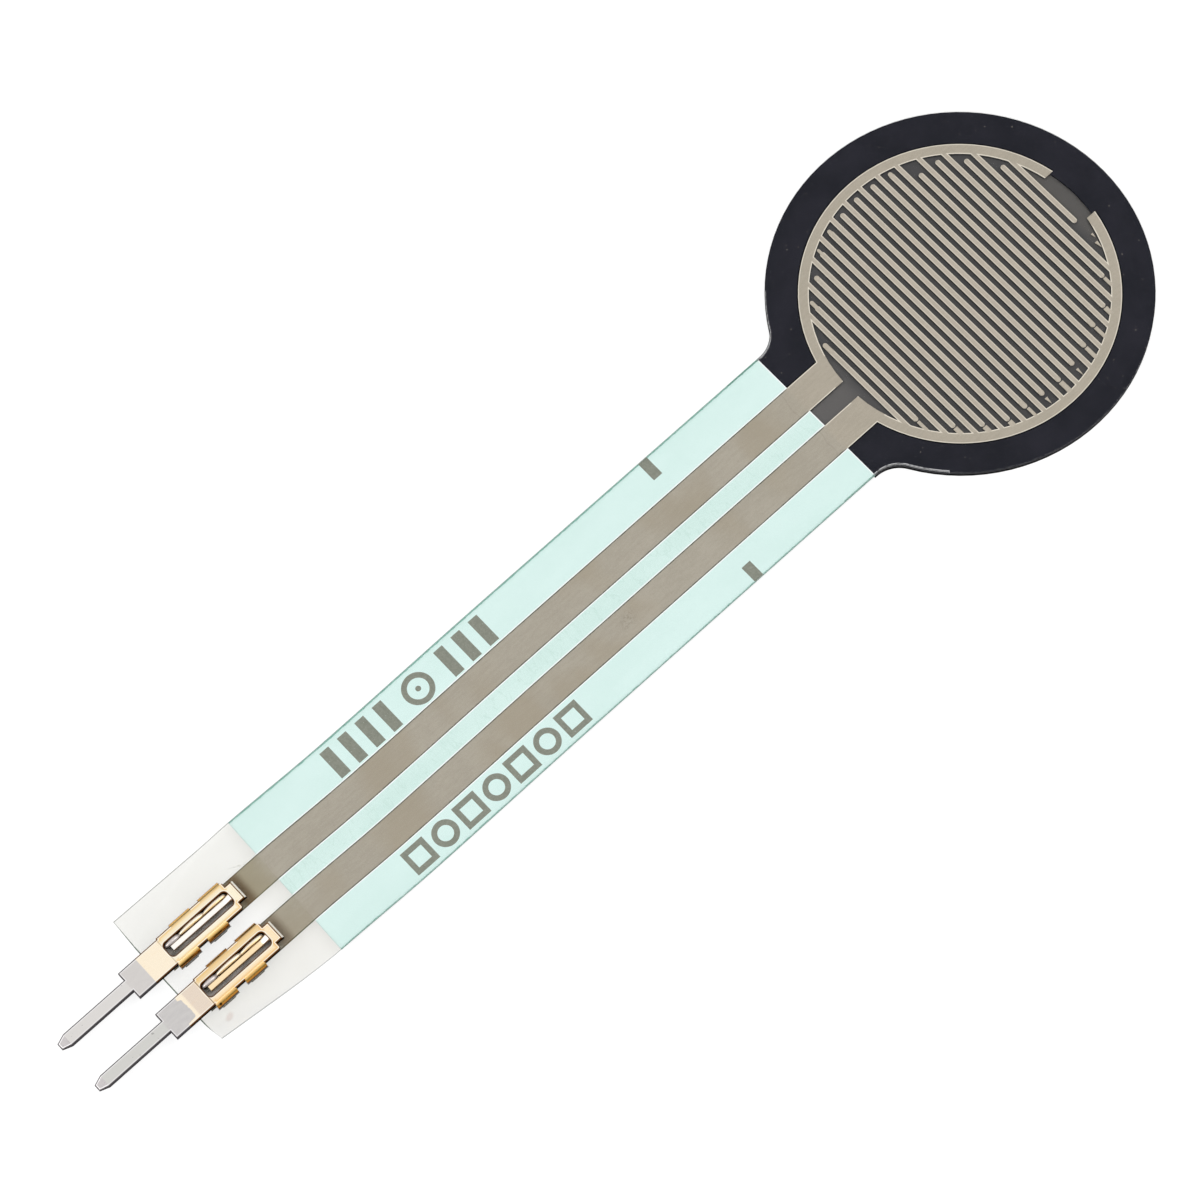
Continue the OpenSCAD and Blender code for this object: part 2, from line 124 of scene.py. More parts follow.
class Finish:
    """A new material with its main shader, and coordinates on the part in millimetres."""

    def __init__(self, name, **constants):
        self.material = bpy.data.materials.new(name)
        self.material.use_nodes = True
        tree = self.material.node_tree
        self.shader = tree.nodes["Principled BSDF"]
        for key, value in constants.items():
            self.shader.inputs[key.replace("_", " ")].default_value = value
        start = Wire(tree)
        object_place = start.node("ShaderNodeTexCoord", output="Object")
        self.place = start.node(
            "ShaderNodeVectorMath", {"operation": "SCALE"}, {0: object_place, "Scale": 1000.0}
        )
        self.x = self.place.node("ShaderNodeSeparateXYZ", None, {0: self.place}, 0)
        self.y = self.place.node("ShaderNodeSeparateXYZ", None, {0: self.place}, 1)
        self.z = self.place.node("ShaderNodeSeparateXYZ", None, {0: self.place}, 2)

    def noise(self, scale, detail=4.0, roughness=0.55, stretch=(1, 1, 1), shift=(0, 0, 0)):
        """Noise with scale features per millimetre."""
        inputs = {"Vector": self.place, "Scale": stretch, "Location": shift}
        place = self.place.node("ShaderNodeMapping", None, inputs)
        inputs = {"Vector": place, "Scale": scale, "Detail": detail, "Roughness": roughness}
        return self.place.node("ShaderNodeTexNoise", None, inputs)

    def set(self, socket, wire):
        self.material.node_tree.links.new(wire.socket, self.shader.inputs[socket])

    def bump(self, height, distance):
        """Relief of the surface, distance in millimetres."""
        inputs = {"Height": height, "Distance": distance / 1000}
        self.set("Normal", height.node("ShaderNodeBump", None, inputs))

    def facing_up(self):
        """1 on level faces that look up, 0 on upright walls, -1 on the underside."""
        face = self.place.node("ShaderNodeNewGeometry", output="Normal")
        return self.place.node("ShaderNodeSeparateXYZ", None, {0: face}, 2)

    def radius(self, x=0.0, y=0.0):
        """Distance in millimetres from a line that stands upright at x, y."""
        level = self.place.node("ShaderNodeVectorMath", {"operation": "MULTIPLY"}, {
            0: self.place, 1: (1, 1, 0)})
        return self.place.node("ShaderNodeVectorMath", {"operation": "DISTANCE"}, {
            0: level, 1: (x, y, 0)}, "Value")

    def patch(self, x, y, length, width, turn=0):
        """A soft round patch: 1 in its middle, 0 outside. Sizes in millimetres, turn in degrees."""
        inputs = {"Location": (x, y, 0), "Rotation": (0, 0, math.radians(turn)),
                  "Scale": (length / 2, width / 2, 1000)}
        place = self.place.node("ShaderNodeMapping", {"vector_type": "TEXTURE"}, {
            "Vector": self.place, **inputs})
        reach = self.place.node("ShaderNodeVectorMath", {"operation": "LENGTH"}, {0: place}, "Value")
        return 1.0 - reach.step(0.3, 1.0)

    def put_on(self, *names):
        for name in names:
            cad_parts[name].material_slots[0].material = self.material


liner = Finish("liner_glassine", Roughness=0.55, Specular_IOR_Level=0.1)
liner_fibres = liner.noise(2.2, 6.0, 0.65, (1, 3, 1))
liner_cloud = liner.noise(0.35, 3.0)
liner_rear = (liner_fibres * 0.6 + liner_cloud * 0.4).step(0.35, 0.65).tint(
    shade(58, 48, 41), shade(84, 72, 61))
# Painted shade: the upright cut edge is painted near-black, far darker than the brown rear face.
liner_cut_tone_and_shade = liner_fibres.step(0.4, 0.75).tint(shade(10, 9, 9), shade(36, 31, 27))
liner.set("Base Color", (0 - liner.facing_up()).step(0.5, 0.8).tint(liner_cut_tone_and_shade, liner_rear))
liner.set("Roughness", 0.45 + liner_fibres * 0.25)
liner.bump(liner_fibres, 0.006)
liner.put_on("release_liner")


# Rear adhesive: a transfer film of dull black acrylic adhesive, laminated to the rear of the head.
# It is soft, so its cut edge is uneven and picks up specks of lint.

glue = Finish("mounting_adhesive", Roughness=0.72, Specular_IOR_Level=0.0)
glue_lumps = glue.noise(3.0, 3.0)
glue_lint = glue.noise(9.0, 2.0, shift=(3.1, 0, 0)).step(0.72, 0.76)
glue.set("Base Color", glue_lint.tint(shade(8, 8, 9), shade(128, 116, 104)))
glue.set("Roughness", 0.6 + glue_lumps * 0.3)
glue.bump(glue_lumps, 0.01)
glue.put_on("rear_adhesive")


# Base film: black polyester film of the rear half of the head, die-cut with it.
# Its edge is slightly paler and rough where the die sheared it.

base = Finish("black_polyester", Roughness=0.4, Specular_IOR_Level=0.0)
base_grain = base.noise(5.0, 4.0)
base_chips = base.noise(6.0, 5.0, 0.7, shift=(0, 5.3, 0)).step(0.68, 0.74)
base.set("Base Color", base_chips.tint(shade(9, 9, 11), shade(104, 92, 84)))
base.set("Roughness", 0.35 + base_grain * 0.25)
base.bump(base_grain, 0.004)
base.put_on("base_film")


# Force sensing ink: carbon polymer, screen printed on the inner face of the base film.
# It shows dark grey through the gaps between the fingers and through the vent in the neck. Where a
# distance to an edge doesn't hold, out_of_reach is added to it, so that another one is the least.

finger_pitch = 0.508
finger_width = 0.25
ring_inner = 7.0
ring_width = 0.5
ring_gap_half = 1.4
trace_middle = 1.27
trace_half = 0.765
vent_half = trace_middle - trace_half
out_of_reach = 9

carbon = Finish("carbon_ink", Specular_IOR_Level=0.15)
carbon_grain = carbon.noise(14.0, 3.0)
carbon_cloud = carbon.noise(0.5, 3.0, shift=(2, 7, 0))
carbon_vent = carbon.x.step(6.2, 7.4)
carbon_body = (carbon_cloud * 0.7 + carbon_grain * 0.3).step(0.3, 0.7).tint(
    shade(68, 68, 70), shade(78, 77, 77))
# Painted shade: among the fingers the carbon is darker than at the open far end of the ring.
carbon_body = carbon.x.step(-6.6, -6.0).tint(shade(88, 86, 84), carbon_body)
carbon_body = carbon_vent.tint(carbon_body, shade(96, 94, 93))
carbon_out = carbon.radius()
carbon_row = carbon_out.math("PINGPONG", carbon.x + finger_pitch / 2, finger_pitch / 2)
carbon_opening = vent_half + (1.0 - carbon.x.step(-0.1, 0.1)) * (ring_gap_half - vent_half)
carbon_opening = 1.0 - (abs(carbon.y) - carbon_opening).step(0.0, 0.02)
carbon_beside = carbon_row - finger_width / 2 + carbon_out.step(6.2, 6.3)
carbon_beside = carbon_beside.or_less(abs(ring_inner - carbon_out) + carbon_opening)
carbon_beside = carbon_beside.or_less(vent_half - abs(carbon.y) + (1.0 - carbon_vent) * out_of_reach)
carbon_covered = carbon_out.step(ring_inner, ring_inner + 0.02) * (1.0 - carbon_vent)
# Painted shadow: a dark line on the carbon along the edges of the fingers and the ring.
carbon_edge_shadow = (1.0 - carbon_beside.step(0.005, 0.035)) * (1.0 - carbon_covered)
carbon_body = (carbon_edge_shadow * 0.7).tint(carbon_body, shade(36, 36, 38))
carbon_spot = carbon.patch(-2.37, -3.45, 0.5, 0.3, 50)
carbon.set("Base Color", (carbon_spot * 0.8).tint(carbon_body, shade(24, 23, 24)))
carbon.set("Roughness", 0.5 + carbon_grain * 0.2)
carbon.bump(carbon_grain, 0.004)
carbon.put_on("force_sensing_ink")


# Spacer: black double-sided adhesive ring with a round opening and the vent channel in the neck.
# It seals the two films together and shows as the black border through the clear film.

spacer = Finish("black_spacer", Specular_IOR_Level=0.06)
spacer_cloud = spacer.noise(0.45, 4.0, shift=(1, 1, 0))
spacer_grain = spacer.noise(11.0, 3.0)
spacer_dust = spacer.noise(7.0, 1.0, shift=(9, 2, 0)).step(0.775, 0.8)
spacer_body = spacer_cloud.step(0.3, 0.7).tint(shade(31, 32, 39), shade(39, 39, 47))
spacer_opening = 1.0 - abs(spacer.y).step(ring_gap_half, ring_gap_half + 0.02)
spacer_opening = (1.0 - spacer.x.step(-0.1, 0.1)) * spacer_opening
spacer_beside = spacer.radius() - (ring_inner + ring_width) + spacer_opening
spacer_head = (1.0 - spacer.x.step(6.6, 6.7)) * out_of_reach
spacer_beside = spacer_beside.or_less(abs(spacer.y) - (trace_middle + trace_half) + spacer_head)
# Painted shadow: a near-black line on the spacer along the ring's outer edge and the traces.
spacer_edge_shadow = 1.0 - spacer_beside.step(0.035, 0.08)
spacer_body = spacer_edge_shadow.tint(spacer_body, shade(6, 6, 8))
spacer.set("Base Color", spacer_dust.tint(spacer_body, shade(104, 98, 92)))
spacer.set("Roughness", 0.45 + spacer_grain * 0.2)
spacer.bump(spacer_grain, 0.003)
spacer.put_on("spacer_adhesive")


# Electrodes: two combs of silver ink with thirteen fingers each, screen printed on the clear film.
# Each has a half ring and a trace that runs to its contact; the ink's edges dry a little proud.

silver = Finish("silver_ink", Metallic=0.15, Specular_IOR_Level=0.25)
silver_grain = silver.noise(12.0, 4.0, 0.7)
silver_weave = silver.noise(5.0, 3.0, 0.6, (0.3, 1.6, 1), (0, 2, 0))
silver_cloud = silver.noise(0.5, 3.0, shift=(4, 1, 0))
silver_mix = (silver_cloud * 0.25 + silver_weave * 0.35 + silver_grain * 0.4).step(0.36, 0.64)
silver_out = silver.radius()
silver_aside = abs(abs(silver.y) - trace_middle)
silver_tail = silver.x.step(9.0, 9.3)
silver_head_body = silver_mix.tint(shade(170, 162, 147), shade(180, 171, 156))
silver_finger_body = silver_mix.tint(shade(178, 169, 154), shade(188, 179, 164))
silver_tail_body = silver_mix.tint(shade(166, 159, 145), shade(176, 169, 155))
silver_aging = silver.noise(0.3, 2.0, 0.5, (1, 0.6, 1), (6, 3, 0)).step(0.45, 0.65)
silver_tail_body = (silver_aging * 0.55).tint(silver_tail_body, shade(162, 151, 131))
silver_body = silver_tail.tint(silver_head_body, silver_tail_body)
silver_body = silver_out.step(6.9, 7.05).tint(silver_finger_body, silver_body)
silver_wrinkles = silver.noise(4.5, 5.0, 0.65, shift=(5, 5, 0))
silver_smudge = 1.0 - abs(silver_wrinkles - 0.5).step(0, 0.04)
silver_smudge = silver.patch(22.05, 1.2, 1.5, 0.9, 25) * silver_smudge
silver_body = (silver_smudge * 0.4).tint(silver_body, shade(112, 106, 92))
silver_crack = 1.0 - abs(silver.x + (silver_cloud - 0.5) * 0.8 - 9.55).step(0.01, 0.04)
silver_body = (silver_crack * 0.15).tint(silver_body, shade(120, 114, 102))

silver_row = silver_out.math("PINGPONG", silver.x + finger_pitch / 2, finger_pitch / 2)
silver_own = silver.x - (silver.y.step(-0.01, 0.01) - 0.5) * finger_pitch
silver_own = silver_out.math("PINGPONG", silver_own, finger_pitch)
silver_bar = silver_row.or_more(silver_out.step(6.8, 6.85) * silver_own) + silver_out.step(7.1, 7.2)
silver_strip = silver_aside + (1.0 - silver.x.step(6.5, 6.6))
silver_ring = ring_width / 2 - abs(silver_out - (ring_inner + ring_width / 2))
silver_depth = (finger_width / 2 - silver_bar).or_more(silver_ring).or_more(trace_half - silver_strip)
# Painted highlight: a pale line along the ink's edges, strongest on the ring's outer edge.
silver_edge_highlight = 1.0 - silver_depth.step(0.025, 0.06)
silver_ring_edge_highlight = silver_edge_highlight * silver_out.step(6.9, 7.0) * 0.35 + silver_edge_highlight * 0.65
# Painted shade: on the tail a dark line runs along the inside of the trace edges.
silver_edge_shade = 1.0 - (silver_depth + (silver_wrinkles - 0.5) * 0.06).step(0.03, 0.065)
# Painted shade: the trace seen down each contact's window is painted a darker, streaked grey.
silver_slot_shade = silver.x.step(43.9, 44.0) - silver.x.step(47.55, 47.65)
silver_slot_shade = silver_slot_shade * (1.0 - silver_aside.step(0.38, 0.4))
silver_slot_shade_streaks = silver.noise(5.0, 4.0, 0.6, (0.25, 2.0, 1), (1, 6, 0)).step(0.3, 0.7)
silver_slot_shade_streaks = silver_slot_shade_streaks.tint(shade(120, 117, 119), shade(206, 200, 198))
# Painted shadow: a dark brown smudge on the traces just before each contact's lip.
silver_lip_shadow = 1.0 - abs(silver.x - 43.3).step(0.1, 0.55)
silver_body = (silver_ring_edge_highlight * (1.0 - silver_tail)).tint(silver_body, shade(228, 221, 206))
silver_body = (silver_edge_shade * silver_tail * 0.9).tint(silver_body, shade(70, 76, 64))
silver_near = silver.y.step(-0.5, 0.5)
silver_aged = silver.x.step(41.4, 42.4) * (1.0 - silver_near) * 0.35
silver_body = silver_aged.tint(silver_body, shade(150, 138, 104))
silver_lip_shadow = silver_lip_shadow * (0.75 - silver_near * 0.25)
silver_body = silver_lip_shadow.tint(silver_body, shade(92, 62, 30))
silver_body = (silver_slot_shade * 0.85).tint(silver_body, silver_slot_shade_streaks)
silver.set("Base Color", silver_body)
silver.set("Roughness", 0.5 + silver_grain * 0.2)
silver.bump(silver_grain, 0.005)
silver.put_on("electrode_comb_left", "electrode_comb_right")


# Finger ends: after printing, some fingers were trimmed from the opposite half ring by thin cuts.
# Stubs and flecks of silver stay on the ring, and other fingers run out to uneven ends.

print_floor = 0.33
print_rise = 0.0015
ink_thickness = 0.03
round_rise = 1.04
cut_width = 0.045
plain_gap = 0.2
trimmed_gap = 0.68
end_bars = []
end_wedges = []
end_rounds = []


def finger_place(number):
    """Place of a finger along the tail, and how far the ring's inner edge is from the middle line."""
    along = (number - 12.5) * finger_pitch
    return along, math.sqrt(ring_inner ** 2 - along ** 2)


def finger_end(number, gap):
    """Where the plain finger of the print stops, from the middle line."""
    along = finger_place(number)[0]
    return math.sqrt((ring_inner - gap) ** 2 - (abs(along) + finger_width / 2) ** 2)


def lay_bar(number, side, inner, outer, width, lean=0.0):
    """Bar of ink along a finger, between two distances from the middle line."""
    along = finger_place(number)[0] + lean
    end_bars.append(((along, side * (inner + outer) / 2), (width, outer - inner)))


def lay_round_bar(number, side, inner, outer, width):
    """The same with a round outer end, as a finger of the print has."""
    lay_bar(number, side, inner, outer - width / 2, width)
    end_rounds.append(((finger_place(number)[0], side * (outer - width / 2)), (width, width)))


for number, cut, gap, width, lean in (
        (2, 0.46, plain_gap, 0.17, 0), (4, 0.34, plain_gap, 0.23, 0), (6, 0.62, trimmed_gap, 0.18, 0),
        (8, 0.64, trimmed_gap, 0.2, 0), (12, 0.6, trimmed_gap, 0.24, 0),
        (16, 0.5, trimmed_gap, 0.15, -0.05), (18, 0.26, plain_gap, 0.24, 0),
        (20, 0.31, plain_gap, 0.24, 0), (22, 0.39, plain_gap, 0.23, 0), (24, 0.57, plain_gap, 0.16, 0)):
    ring = finger_place(number)[1]
    lay_bar(number, 1, ring - cut + cut_width / 2, ring + 0.08, width, lean)
    if finger_end(number, gap) < ring - cut - cut_width / 2:
        lay_round_bar(number, 1, finger_end(number, gap) - 0.2, ring - cut - cut_width / 2, finger_width)
for number, gap in ((10, 0.66), (14, 0.62)):
    ring = finger_place(number)[1]
    lay_round_bar(number, 1, finger_end(number, trimmed_gap) - 0.2, ring - gap, finger_width)
for number, start, stop, width in ((10, 0.02, 0.53, 0.13), (14, 0.1, 0.55, 0.16), (0, 0.05, 0.5, 0.16)):
    along, ring = finger_place(number)
    end_wedges.append(((along + 0.02, ring - (start + stop) / 2), (width, stop - start)))
end_wedges.append(((finger_place(0)[0] - 0.12, finger_place(0)[1] - 0.75), (0.12, 0.3)))
for number, gap, left, width in (
        (9, plain_gap, 0.14, 0.22), (17, plain_gap, 0.14, 0.2),
        (19, plain_gap, 0.06, 0.14), (21, plain_gap, 0.31, 0.25), (23, plain_gap, 0.1, 0.19),
        (25, plain_gap, 0.47, 0.24)):
    ring = finger_place(number)[1]
    lay_round_bar(number, -1, finger_end(number, gap) - 0.2, ring - left, width)

ends_laid = end_bars + end_wedges + end_rounds
ends_height = print_floor + print_rise + ink_thickness / 2
ends_mesh = bpy.data.meshes.new("finger_ends")
ends_mesh.from_pydata([(x / 1000, y / 1000, ends_height / 1000) for (x, y), size in ends_laid], [], [])
ends_mesh.attributes.new("size", "FLOAT_VECTOR", "POINT")
ends_mesh.attributes.new("kind", "INT", "POINT")
end_kinds = [0] * len(end_bars) + [1] * len(end_wedges) + [2] * len(end_rounds)
for number, (place, (width, length)) in enumerate(ends_laid):
    rise = round_rise if end_kinds[number] == 2 else 1.0
    ends_mesh.attributes["size"].data[number].vector = (width / 1000, length / 1000, rise)
    ends_mesh.attributes["kind"].data[number].value = end_kinds[number]
finger_ends = bpy.data.objects.new("finger_ends", ends_mesh)
bpy.context.scene.collection.objects.link(finger_ends)

residue = Finish("trimmed_silver", Metallic=0.15, Specular_IOR_Level=0.25)
residue_grain = residue.noise(12.0, 4.0, 0.7)
residue.set("Base Color", residue_grain.step(0.3, 0.7).tint(shade(180, 171, 156), shade(192, 183, 167)))
residue.set("Roughness", 0.5 + residue_grain * 0.2)
residue.bump(residue_grain, 0.005)

ends_tree = bpy.data.node_groups.new("finger_ends", "GeometryNodeTree")
ends_tree.interface.new_socket("Places", in_out="INPUT", socket_type="NodeSocketGeometry")
thickness_socket = ends_tree.interface.new_socket(
    "Ink thickness", in_out="INPUT", socket_type="NodeSocketFloat")
finish_socket = ends_tree.interface.new_socket(
    "Ink", in_out="INPUT", socket_type="NodeSocketMaterial")
ends_tree.interface.new_socket("Ends", in_out="OUTPUT", socket_type="NodeSocketGeometry")
ends_in = Wire(ends_tree).node("NodeGroupInput", output="Places")
ends_thick = Wire(ends_tree, ends_in.socket.node.outputs["Ink thickness"])
ends_ink = Wire(ends_tree, ends_in.socket.node.outputs["Ink"])
bar_size = ends_in.node("ShaderNodeCombineXYZ", None, {0: 1.0, 1: 1.0, 2: ends_thick})
bar = ends_in.node("GeometryNodeMeshCube", None, {"Size": bar_size})
wedge = ends_in.node("GeometryNodeMeshCylinder", None, {
    "Vertices": 3, "Radius": 0.577, "Depth": ends_thick})
wedge = ends_in.node("GeometryNodeTransform", None, {
    "Geometry": wedge, "Rotation": (0, 0, math.radians(90))})
round_end = ends_in.node("GeometryNodeMeshCylinder", None, {
    "Vertices": 20, "Radius": 0.5, "Depth": ends_thick})
shapes = ends_in.node("GeometryNodeGeometryToInstance", None, {0: round_end})
ends_tree.links.new(wedge.socket, shapes.socket.node.inputs[0])
ends_tree.links.new(bar.socket, shapes.socket.node.inputs[0])
sizes = ends_in.node(
    "GeometryNodeInputNamedAttribute", {"data_type": "FLOAT_VECTOR"}, {"Name": "size"}, "Attribute")
kinds = ends_in.node(
    "GeometryNodeInputNamedAttribute", {"data_type": "INT"}, {"Name": "kind"}, "Attribute")
laid = ends_in.node("GeometryNodeInstanceOnPoints", None, {
    "Points": ends_in, "Instance": shapes, "Pick Instance": True, "Instance Index": kinds,
    "Scale": sizes})
joined = ends_in.node("GeometryNodeRealizeInstances", None, {0: laid})
inked = ends_in.node("GeometryNodeSetMaterial", None, {"Geometry": joined, "Material": ends_ink})
ends_tree.links.new(inked.socket, ends_tree.nodes.new("NodeGroupOutput").inputs["Ends"])

ends_modifier = finger_ends.modifiers.new("finger_ends", "NODES")
ends_modifier.node_group = ends_tree
ends_modifier[thickness_socket.identifier] = ink_thickness / 1000
ends_modifier[finish_socket.identifier] = residue.material
ends_seen = finger_ends.evaluated_get(bpy.context.evaluated_depsgraph_get())
ends_solid = bpy.data.meshes.new_from_object(ends_seen)
finger_ends.modifiers.clear()
finger_ends.data = ends_solid
ends_solid.materials.clear()
ends_solid.materials.append(residue.material)
for face in ends_solid.polygons:
    face.material_index = 0
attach(finger_ends, "root")


# Printed marks: two index bars beside the traces, two groups of plain bars with a round target on
# the right border, and a plain row of squares and rings on the left. All are one olive grey ink.

mark = Finish("grey_print", Specular_IOR_Level=0.25)
mark_grain = mark.noise(9.0, 4.0, 0.7)
mark_pinholes = mark.noise(16.0, 2.0, shift=(0, 3, 0)).step(0.68, 0.76)
mark_body = mark_grain.step(0.3, 0.7).tint(shade(127, 130, 118), shade(142, 145, 133))
mark.set("Base Color", mark_pinholes.tint(mark_body, shade(176, 190, 180)))
mark.set("Roughness", 0.45 + mark_grain * 0.2)
mark.bump(mark_grain, 0.004)
mark.put_on("index_marks", "code_bars", "pattern_marks")


# Tail dielectric: pale green-blue insulating ink that covers the traces from the head to the
# bare end. It is printed in one pass, so it is even, with a faint cloudiness and few smudges.

cut_shift_y = -0.07

mint = Finish("dielectric_ink", Specular_IOR_Level=0.25)
mint_cloud = mint.noise(0.5, 4.0, 0.6, (0.6, 1.4, 1))
mint_grain = mint.noise(9.0, 3.0)
mint_smudge = mint.noise(0.45, 5.0, 0.7, shift=(7, 1, 0)).step(0.68, 0.8)
mint_body = (mint_cloud * 0.6 + mint_grain * 0.4).step(0.35, 0.65).tint(
    shade(210, 236, 229), shade(218, 242, 236))
mint_body = (abs(mint.y).step(1.9, 2.1) * 0.35).tint(mint_body, shade(226, 250, 247))
mint_body = (mint_smudge * 0.4).tint(mint_body, shade(190, 220, 210))
mint_fold = mint.noise(0.9, 3.0, 0.6, (1.5, 0.5, 1), (3, 1, 0))
mint_fold = (1.0 - abs(mint_fold - 0.5).step(0.0, 0.02)) * (1.0 - abs(mint.y).step(0.4, 0.5))
mint_body = (mint_fold * 0.35).tint(mint_body, shade(192, 222, 212))
mint_nicks = mint.noise(3.0, 4.0, 0.7, shift=(2, 2, 0))
mint_outer = (abs(mint.y - cut_shift_y) + (mint_nicks - 0.5) * 0.12).step(3.86, 3.9)
mint_beside = abs(abs(mint.y) - trace_middle) - trace_half
mint_line = 1.0 - mint_beside.or_less(mint.x - 9.08).step(0.035, 0.07)
mint_body = mint_line.tint(mint_body, shade(250, 255, 254))
mint.set("Base Color", (mint_outer * 0.85).tint(mint_body, shade(118, 178, 162)))
mint.set("Roughness", 0.45 + mint_grain * 0.15)
mint.bump(mint_grain, 0.003)
mint.put_on("tail_dielectric")


# Top film: clear glossy polyester that carries all the print, from the head to the end of the tail.
# The die leaves a green-grey cut edge; the bare end has a fine scratch and a faint brown stain.

film_gap = 0.000003
cut_shift_x = -0.06
head_radius = 9.05
tail_half = 3.935
film_end = 48.54
neck_radius = 1.5
neck_x = 8.98
neck_y = tail_half + neck_radius

film_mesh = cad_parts["top_film"].data.copy()
film_shape = bmesh.new()
film_shape.from_mesh(film_mesh)
bmesh.ops.remove_doubles(film_shape, verts=film_shape.verts, dist=1e-7)
film_under = {corner for face in film_shape.faces if face.normal.z < -0.5 for corner in face.verts}
for corner in film_under:
    corner.co.z += film_gap
film_shape.to_mesh(film_mesh)
film_shape.free()
film_sheet = bpy.data.objects.new("film_sheet", film_mesh)
bpy.context.scene.collection.objects.link(film_sheet)

film = Finish("clear_polyester", Roughness=0.12, Specular_IOR_Level=0.7)
film_up = film.facing_up()
film_wall = 1.0 - abs(film_up).step(0.1, 0.45)
film_cloud = film.noise(0.6, 3.0)
film_grain = film.noise(7.0, 3.0)
film_bare = (film.x - film.y * 0.021).step(41.7, 41.8)
film_tail = film.x.step(9.0, 9.3)
film_warm = film.y.step(-3.5, 3.5)
film_stain = film.patch(47.5, 2.8, 0.7, 0.45, 30) * film_cloud.step(0.2, 0.5)
film_scratch = film.patch(42.6, -2.15, 1.5, 0.07, -27) * film_grain.step(0.35, 0.6)
film_tone = film_warm.tint(shade(152, 149, 108), shade(150, 142, 96))
film_tone = film_bare.tint(shade(40, 42, 44), film_tone)
film_tone = (film_stain * film_bare).tint(film_tone, shade(168, 118, 70))
film_side = tail_half - abs(film.y - cut_shift_y) - (1.0 - film.x.step(8.6, 8.7))
film_depth = (head_radius - film.radius(cut_shift_x, cut_shift_y)).or_more(film_side)
film_neck = film.radius(neck_x, cut_shift_y + neck_y)
film_neck = film_neck.or_less(film.radius(neck_x, cut_shift_y - neck_y)) - neck_radius
film_neck = film_neck - film.x.step(8.95, 9.0) - (1.0 - film.x.step(7.6, 7.65))
film_depth = film_depth.or_more(film_neck).or_less(film_end - film.x)
film_edge = (1.0 - (film_depth - film_bare * 0.015).step(0.02, 0.06)) * film_up.step(0.3, 0.9)
# Painted highlight: a pale broken line just inside the head's cut edge, stronger on the side facing +x
# and +y.
film_rim_glint = film_depth.step(0.02, 0.045) * (1.0 - film_depth.step(0.06, 0.095)) * (1.0 - film_tail)
film_glint_side = (film.x * 0.571 + film.y * 0.821).step(-2.0, 4.0)
film_rim_glint = film_rim_glint * film_up.step(0.3, 0.9) * (film_grain.step(0.3, 0.5) * 0.6 + film_glint_side * 0.4)
# On the tail the cut edge is green-grey; on the head it is painted near-black as painted shade.
film_edge_tint_and_shade = film_bare.tint(shade(104, 154, 138), shade(66, 90, 70))
film_edge_tint_and_shade = film_tail.tint(shade(6, 6, 8), film_edge_tint_and_shade)
film_tone = film_edge.or_more(film_wall).tint(film_tone, film_edge_tint_and_shade)
film.set("Base Color", film_rim_glint.tint(film_tone, shade(200, 200, 202)))
film_clear_and_lightened = abs(abs(film.y) - trace_middle).step(0.75, 0.78) * 0.7 + 0.3
# Painted light: the veil is thinner between the contacts, lightening the film where their shade falls.
film_clear_and_lightened = film_clear_and_lightened * (1.0 - (1.0 - abs(film.y).step(0.4, 0.6)) * film.x.step(42.0, 44.0) * 0.6)
film_veil = film_cloud * 0.03 + 0.1 + film_stain * 0.08 + film_scratch * 0.2
film_veil = film_bare * film_clear_and_lightened * film_veil + 0.012
film_solid = film_edge * 0.8 + film_rim_glint * (0.3 + film_glint_side * 0.45)
film.set("Alpha", film_veil.or_more(film_solid).or_more(film_wall * (0.15 + film_tail * 0.6)))
film.set("Roughness", 0.1 + film_cloud * 0.08)
film.bump(film_cloud, 0.01)
film_mesh.materials.clear()
film_mesh.materials.append(film.material)
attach(film_sheet, "root")
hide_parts("top_film")


# Contacts: two stamped copper alloy terminals, gold plated on the crimp and tin plated on the pin.
# Their tines pierce the film, curl under it and come up in the window as curled leaves beside
# the tongue, which bends down out of the plate.

lip_x = 43.35
lip_length = 0.42
body_half = 0.8
body_end = 4.25
plate_end = 6.52
pin_half = 0.315
pin_end = 10.57
point_start = 10.1
window_middle = 2.4
window_reach = 1.65
window_half = 0.39
window_round = 0.2

contact = Finish("plated_contact", Roughness=0.25, Specular_IOR_Level=0.0)
contact_up = contact.facing_up()
contact_u = contact.x - lip_x
contact_far = contact.y.step(-0.2, 0.2)
contact_across = contact.y + trace_middle - contact_far * (2 * trace_middle)
contact_v = abs(contact_across)
contact_rub = contact.noise(6.0, 4.0, 0.6, (0.35, 1, 1))
contact_fine = contact.noise(24.0, 3.0, 0.6)
contact_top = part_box("contact_left")[1][2] * 1000


def inside_blank(start, stop, half):
    """How deep a point lies inside a stretch of the flat blank, in millimetres."""
    return (contact_u - start).or_less(stop - contact_u).or_less(half - contact_v)


contact_depth = inside_blank(0.1, 5, 0.485).or_more(inside_blank(lip_length, body_end, body_half))
contact_depth = contact_depth.or_more(inside_blank(lip_length, plate_end, 0.74))
contact_taper = pin_half - (contact_u - point_start).or_more(0) * 0.32
contact_depth = contact_depth.or_more(inside_blank(lip_length, pin_end, contact_taper))
contact_end = (abs(contact_u - window_middle) - window_reach).or_more(0)
contact_side = (contact_v - (window_half - window_round)).or_more(0)
contact_hole = contact_end * contact_end + contact_side * contact_side
contact_hole = contact_hole.math("SQRT", contact_hole) - window_round
contact_plate = contact_hole.step(-0.01, 0.0)
contact_level = contact_up.step(0.93, 0.98) * contact_plate
contact_near = contact_depth.or_less(contact_hole)
